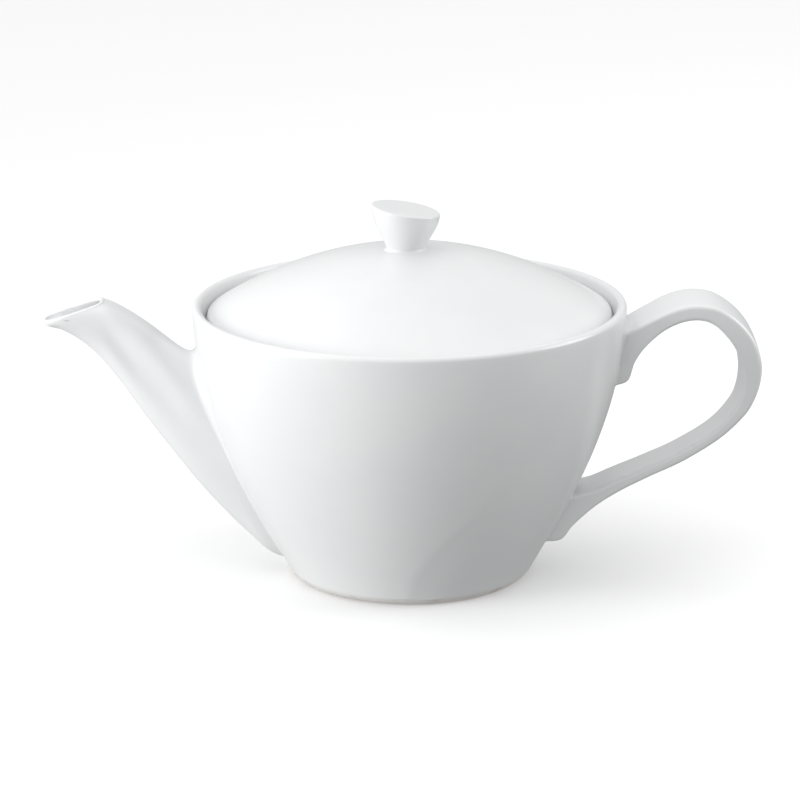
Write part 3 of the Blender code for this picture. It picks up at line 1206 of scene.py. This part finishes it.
@dataclass
class Strap:
    """The ribbon handle, with rounded edges and a small fillet at both roots.

    Attributes:
        wall: The bowl's wall, which the strap grows from.
        sections: Outer X and Z, inner X and Z and half width of each section, in millimetres
            from the pot's axis and the table, upper root to lower root.
        corner: Radius of the rounded edges in millimetres.
        crown: How far the broad faces stand up in the middle, in millimetres.
        corner_steps: Facets round each edge.
        stations: Rings along the strap between its fillets.
        fillet: Reach of the roots' fillets, and what the top of the upper root adds, in
            millimetres.
        fillet_rise: Heights between which the upper root's fillet broadens.
    """

    wall: Wall
    sections: tuple[tuple[float, ...], ...] = STRAP
    corner: float = 1.5
    crown: float = 0.22
    corner_steps: int = 6
    stations: int = 150
    fillet: Flat = (0.7, 4.3)
    fillet_rise: Flat = (88 * MM, 95 * MM)

    def ring(self, half_width: float, half_thick: float) -> list[Flat]:
        """A rounded section as (across, up) points.

        Args:
            half_width: Half its width.
            half_thick: Half its thickness.

        Returns:
            The points, round the section once.
        """
        radius = min(self.corner, 0.9 * half_thick)
        flat, flank = half_width - radius, half_thick - radius
        broad = (0.97, 0.8, 0.4, 0.0, -0.4, -0.8, -0.97)
        narrow = (0.8, 0.0, -0.8)
        points: list[Flat] = []
        for turn in range(4):
            side = 1 if turn in (0, 3) else -1
            level = 1 if turn < 2 else -1
            for i in range(self.corner_steps + 1):
                angle = math.pi / 2 * (turn + i / self.corner_steps)
                points.append((
                    side * flat + radius * math.cos(angle),
                    level * flank + radius * math.sin(angle),
                ))
            along = broad if turn % 2 == 0 else narrow
            for f in along:
                if turn % 2 == 0:
                    points.append((level * f * flat, level * (half_thick + self.crown * (1 - f * f))))
                else:
                    points.append((side * half_width, level * f * flank))
        return points

    def point(self, t: float, place: int) -> Vector:
        """A point on the strap.

        Args:
            t: The place along the sections.
            place: The number of the point round the section.

        Returns:
            The point.
        """
        ox, oz, ix, iz, width = spline(self.sections, t)
        outer, inner = Vector((ox, 0, oz)), Vector((ix, 0, iz))
        across, rise = self.ring(width, (outer - inner).length / 2)[place]
        up = (outer - inner).normalized()
        spot = (outer + inner) / 2 + up * rise + Vector((0, across, 0))
        return spot * MM + Vector((self.wall.axis, 0, 0))

    def fillet_reach(self, corner: Vector) -> float:
        """Broad over the top of the upper root, tight everywhere else."""
        return (self.fillet[0] + self.fillet[1] * smooth(corner.z, *self.fillet_rise)) * MM

    def build(self) -> bpy.types.Object:
        """Builds and dresses the strap.

        Returns:
            The finished piece.
        """
        count = len(self.ring(10.0, 3.0))
        last = len(self.sections) - 1.0
        lines: list[Line] = [lambda t, i=i: self.point(t, i) for i in range(count)]
        upper = [self.wall.leaves(line, 0.0, 3.0) for line in lines]
        lower = [self.wall.leaves(line, last, last - 3.0) for line in lines]
        heads, starts = self.wall.fillets(lines, upper, 1.0, self.fillet_reach, 7)
        tails, stops = self.wall.fillets(lines, lower, -1.0, self.fillet_reach, 7)
        columns = []
        for i, line in enumerate(lines):
            span = stops[i] - starts[i]
            places = (starts[i] + span * k / self.stations for k in range(1, self.stations))
            middle = [line(place) for place in places]
            columns.append(heads[i] + middle + tails[i][::-1])
        rings = list(zip(*columns))
        skin = RingSkin(rings[0])
        for ring in rings[1:]:
            skin.grow(ring)
        strap = new_object("strap_handle", skin.finished())
        glaze = GlazedPorcelain("strap_glaze")
        return finish_piece(strap, Body.POT, Slot.GLAZED, glaze.make(), "handle")


@dataclass
class Lid:
    """The loose lid: a turned dome with a steam hole, and the ring under it.

    Attributes:
        axis: The X of the pot's axis.
        radius: Radius of the dome's edge.
        bottom: Height of the dome's flat edge.
        apex: Height of the dome's top.
        fall: How far the dome falls from its top to its edge.
        thickness: Thickness of the dome.
        hollow: Radius of the hollow under the dome.
        hole: Radius of the steam hole.
        hole_place: How far the steam hole stands from the axis.
        ring_thickness: Thickness of the ring under the dome.
        steps: Facets round the lid.
    """

    axis: float
    radius: float
    bottom: float
    apex: float
    fall: float = 23.5 * MM
    thickness: float = 4.2 * MM
    hollow: float = 65.8 * MM
    hole: float = 1.5 * MM
    hole_place: float = 17 * MM
    ring_thickness: float = 3.8 * MM
    steps: int = 256

    def height(self, radius: float) -> float:
        """The dome's height at a distance from its axis."""
        return self.apex - self.fall * (radius / self.radius) ** 2

    def build_dome(self) -> bpy.types.Object:
        """Builds and dresses the dome.

        Returns:
            The finished piece.
        """
        shoulder = self.radius - 1.5 * MM
        top = [Vector((shoulder * i / 60, self.height(shoulder * i / 60))) for i in range(61)]
        edge = rounded((
            (tuple(top[-1]), 0),
            ((self.radius - 0.1 * MM, self.height(self.radius - 0.1 * MM)), 0.7 * MM),
            ((self.radius, self.bottom), 0.8 * MM),
            ((self.hollow, self.bottom), 0.6 * MM),
            ((self.hollow - 1.4 * MM, self.bottom + 2.8 * MM), 1.2 * MM),
            ((self.hollow - 4 * MM, self.height(self.hollow - 4 * MM) - self.thickness), 0),
        ))
        span = self.hollow - 6 * MM
        under = [
            Vector((r, self.height(r) - self.thickness))
            for r in (span * i / 40 for i in range(40, -1, -1))
        ]
        dome = new_object("dome", turned(top[:-1] + edge + under, self.steps, self.axis))
        drill = bmesh.new()
        bmesh.ops.create_cone(
            drill, cap_ends=True, segments=40, radius1=self.hole, radius2=self.hole,
            depth=20 * MM, matrix=Matrix.Translation((self.axis, self.hole_place, self.apex)),
        )
        drilled(dome, drill)
        glaze = GlazedPorcelain("dome_glaze")
        return finish_piece(dome, Body.LID, Slot.GLAZED, glaze.make(), "lid")

    def build_ring(self) -> bpy.types.Object:
        """Builds and dresses the ring under the dome.

        Returns:
            The finished piece.
        """
        low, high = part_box("lid_flange")
        outer = (high.y - low.y) / 2
        inner = outer - self.ring_thickness
        outline = rounded((
            ((outer, self.bottom - 0.05 * MM), 0),
            ((outer, low.z), 1.5 * MM),
            ((inner, low.z), 1.5 * MM),
            ((inner, self.bottom - 0.05 * MM), 0),
        ), 8)
        ring = new_object("dome_ring", turned(outline, self.steps, self.axis))
        glaze = GlazedPorcelain("ring_glaze")
        return finish_piece(ring, Body.LID_RING, Slot.GLAZED, glaze.make(), "lid_flange")


@dataclass
class Knob:
    """The flared knob with its top on a slant.

    Attributes:
        pot_axis: The X of the pot's axis.
        base: Height of the dome under it.
        lean: How far its own axis stands from the pot's.
        base_radius: Radius where it meets the dome.
        top_radius: Radius of its top.
        top_height: Height of the middle of its top.
        tilt: The top's slant, down towards the handle.
        edge: Radius of the top's rounded edge.
        crown: How far the top stands up in its middle.
        lower_handle: The side curve's handle at the base.
        upper_handle: The side curve's handle at the top.
        steps: Facets round the knob.
    """

    pot_axis: float
    base: float
    lean: float = -1.2 * MM
    base_radius: float = 7.1 * MM
    top_radius: float = 12.55 * MM
    top_height: float = 138.35 * MM
    tilt: float = math.radians(9.0)
    edge: float = 0.6 * MM
    crown: float = 0.12 * MM
    lower_handle: Flat = (1.8 * MM, 3.9 * MM)
    upper_handle: Flat = (-0.15 * MM, -4.6 * MM)
    steps: int = 144

    def outline(self) -> list[Vector]:
        """The half section before its top is slanted.

        Returns:
            The outline: under the base, flared side, rounded edge and top.
        """
        sunk = self.base - 0.35 * MM
        foot = Vector((self.base_radius, self.base + 0.7 * MM))
        brim = Vector((self.top_radius, self.top_height - self.edge))
        flare = bezier(
            Vector((self.base_radius + 0.9 * MM, sunk)),
            Vector((self.base_radius + 0.2 * MM, self.base)),
            foot - Vector((0.1, 0.3)) * MM, foot, 6,
        )
        side = bezier(
            foot, foot + Vector(self.lower_handle), brim + Vector(self.upper_handle), brim, 40
        )
        edge = arc(Vector((self.top_radius - self.edge, brim.y)), self.edge, 0, 90, 8)
        level = edge[-1].x
        top = [
            Vector((r, self.top_height + self.crown * (1 - (r / level) ** 2)))
            for r in (level * i / 16 for i in range(15, -1, -1))
        ]
        return [Vector((0, sunk))] + flare + side[1:-1] + edge + top

    def slanted(self, bm: bmesh.types.BMesh, axis: float) -> None:
        """Slants the knob more and more from its base to its top.

        Args:
            bm: The turned knob.
            axis: The X of its own axis.
        """
        for vert in bm.verts:
            share = max(0.0, (vert.co.z - self.base) / (self.top_height - self.base))
            vert.co.z -= share * math.tan(self.tilt) * (vert.co.x - axis)

    def build(self) -> bpy.types.Object:
        """Builds and dresses the knob.

        Returns:
            The finished piece.
        """
        axis = self.pot_axis + self.lean
        bm = turned(self.outline(), self.steps, axis)
        self.slanted(bm, axis)
        knob = new_object("knob", bm)
        glaze = GlazedPorcelain("knob_glaze")
        return finish_piece(knob, Body.LID, Slot.GLAZED, glaze.make(), "lid_knob")


# --------------------------------------------------------------------------------------
# Studio
# --------------------------------------------------------------------------------------


@dataclass(frozen=True)
class Softbox:
    """A square light that looks at the pot.

    Attributes:
        name: The light's name.
        place: Where it hangs.
        size: The length of its side.
        power: Its power in watts.
    """

    name: str
    place: tuple[float, float, float]
    size: float
    power: float

    def hang(self, target: Vector) -> None:
        """Hangs the light.

        Args:
            target: What it looks at.
        """
        light = bpy.data.lights.new(self.name, "AREA")
        light.shape = "SQUARE"
        light.size = self.size
        light.energy = self.power
        lamp = bpy.data.objects.new(self.name, light)
        lamp.location = self.place
        lamp.visible_camera = False
        aim = target - Vector(self.place)
        lamp.rotation_euler = aim.to_track_quat("-Z", "Y").to_euler()
        bpy.context.scene.collection.objects.link(lamp)


@dataclass
class Studio:
    """White floor, two soft lights, a shaded surround and the camera.

    Attributes:
        axis: The X of the pot's axis.
        elevation: The camera's angle above the table.
        roll: The camera's roll.
        distance: The camera's distance from its aim.
        lens: The camera's focal length in millimetres.
        aim: What the camera looks at, from the pot's axis.
        base_light: Strength of the surround everywhere.
        left_light: What the surround adds on the spout's side.
        high_light: What it adds above the table.
        overhead_light: What it adds overhead.
        softboxes: The lights.
        light_height: Height that the lights look at.
    """

    axis: float
    elevation: float = math.radians(15.94)
    roll: float = math.radians(-0.39)
    distance: float = 1.350
    lens: float = 163.66
    aim: tuple[float, float, float] = (-3.695 * MM, 0.0, 65.56 * MM)
    base_light: float = 0.18
    left_light: float = 0.62
    high_light: float = 0.37
    overhead_light: float = 0.31
    softboxes: tuple[Softbox, ...] = (
        Softbox("key_light", (-0.7, -0.3, 0.15), 0.4, 3.5),
        Softbox("side_light", (1.0, 0.0, 0.45), 0.6, 5.2),
    )
    light_height: float = 0.06

    def floor(self) -> None:
        """Lays a wide white floor."""
        bm = bmesh.new()
        bmesh.ops.create_circle(bm, cap_ends=True, segments=64, radius=6.0)
        floor = new_object("floor", bm)
        floor.data.materials.append(StudioPaper("floor_paper").make())
        floor.visible_diffuse = False
        floor.visible_glossy = False

    def surround(self) -> None:
        """Surrounds the set with soft light that fades towards the handle's side."""
        world = bpy.data.worlds.new("surround")
        bpy.context.scene.world = world
        world.use_nodes = True
        sheet = NodeSheet(world.node_tree)
        way = sheet.out(sheet.add("ShaderNodeTexCoord"), "Generated")
        split = sheet.add("ShaderNodeSeparateXYZ", {}, {0: way})
        left = (0.0 - sheet.out(split, "X")).limited(-0.9, 0.9)
        high = sheet.out(split, "Z").limited(-0.15, 0.6)
        overhead = sheet.out(split, "Z").limited(0.5, 1.0)
        strength = self.base_light + self.left_light * left
        strength += self.high_light * high + self.overhead_light * overhead
        backdrop = world.node_tree.nodes["Background"]
        sheet.feed(backdrop, {"Color": (1.0, 1.0, 1.0, 1.0), "Strength": strength})

    def camera(self) -> None:
        """Sets up the camera, level but for a slight roll."""
        lens = bpy.data.cameras.new("camera")
        lens.lens = self.lens
        lens.sensor_width = 36.0
        lens.clip_start = 0.05
        lens.clip_end = 30.0
        eye = bpy.data.objects.new("camera", lens)
        aim = Vector(self.aim) + Vector((self.axis, 0, 0))
        back = Vector((0, -math.cos(self.elevation), math.sin(self.elevation)))
        turn = Matrix.Rotation(math.pi / 2 - self.elevation, 4, "X")
        roll = Matrix.Rotation(self.roll, 4, "Z")
        eye.matrix_world = Matrix.Translation(aim + back * self.distance) @ turn @ roll
        bpy.context.scene.collection.objects.link(eye)
        bpy.context.scene.camera = eye

    def build(self) -> None:
        """Sets up floor, lights and camera."""
        self.floor()
        for softbox in self.softboxes:
            softbox.hang(Vector((self.axis, 0, self.light_height)))
        self.surround()
        self.camera()
        bpy.context.scene.view_settings.view_transform = "Standard"


def main() -> None:
    """Builds every class in order around the frame."""
    logging.basicConfig(level=logging.INFO, format="%(message)s")
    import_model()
    low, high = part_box("pot_body")
    foot_low, foot_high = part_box("foot_ring")
    lid_low, lid_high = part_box("lid")
    axis = (low.x + high.x) / 2
    wall = Wall(axis, (high.y - low.y) / 2, high.z)
    Studio(axis).build()
    Bowl(wall, low.z, lid_low.z - SEAT_GAP).build()
    FootRing(axis, (foot_high.y - foot_low.y) / 2, low.z + FOOT_LAP).build()
    Spout(wall).build()
    Strap(wall).build()
    lid = Lid(axis, (lid_high.y - lid_low.y) / 2, lid_low.z, lid_high.z)
    lid.build_dome()
    lid.build_ring()
    Knob(axis, lid_high.z).build()


if __name__ == "__main__":
    main()
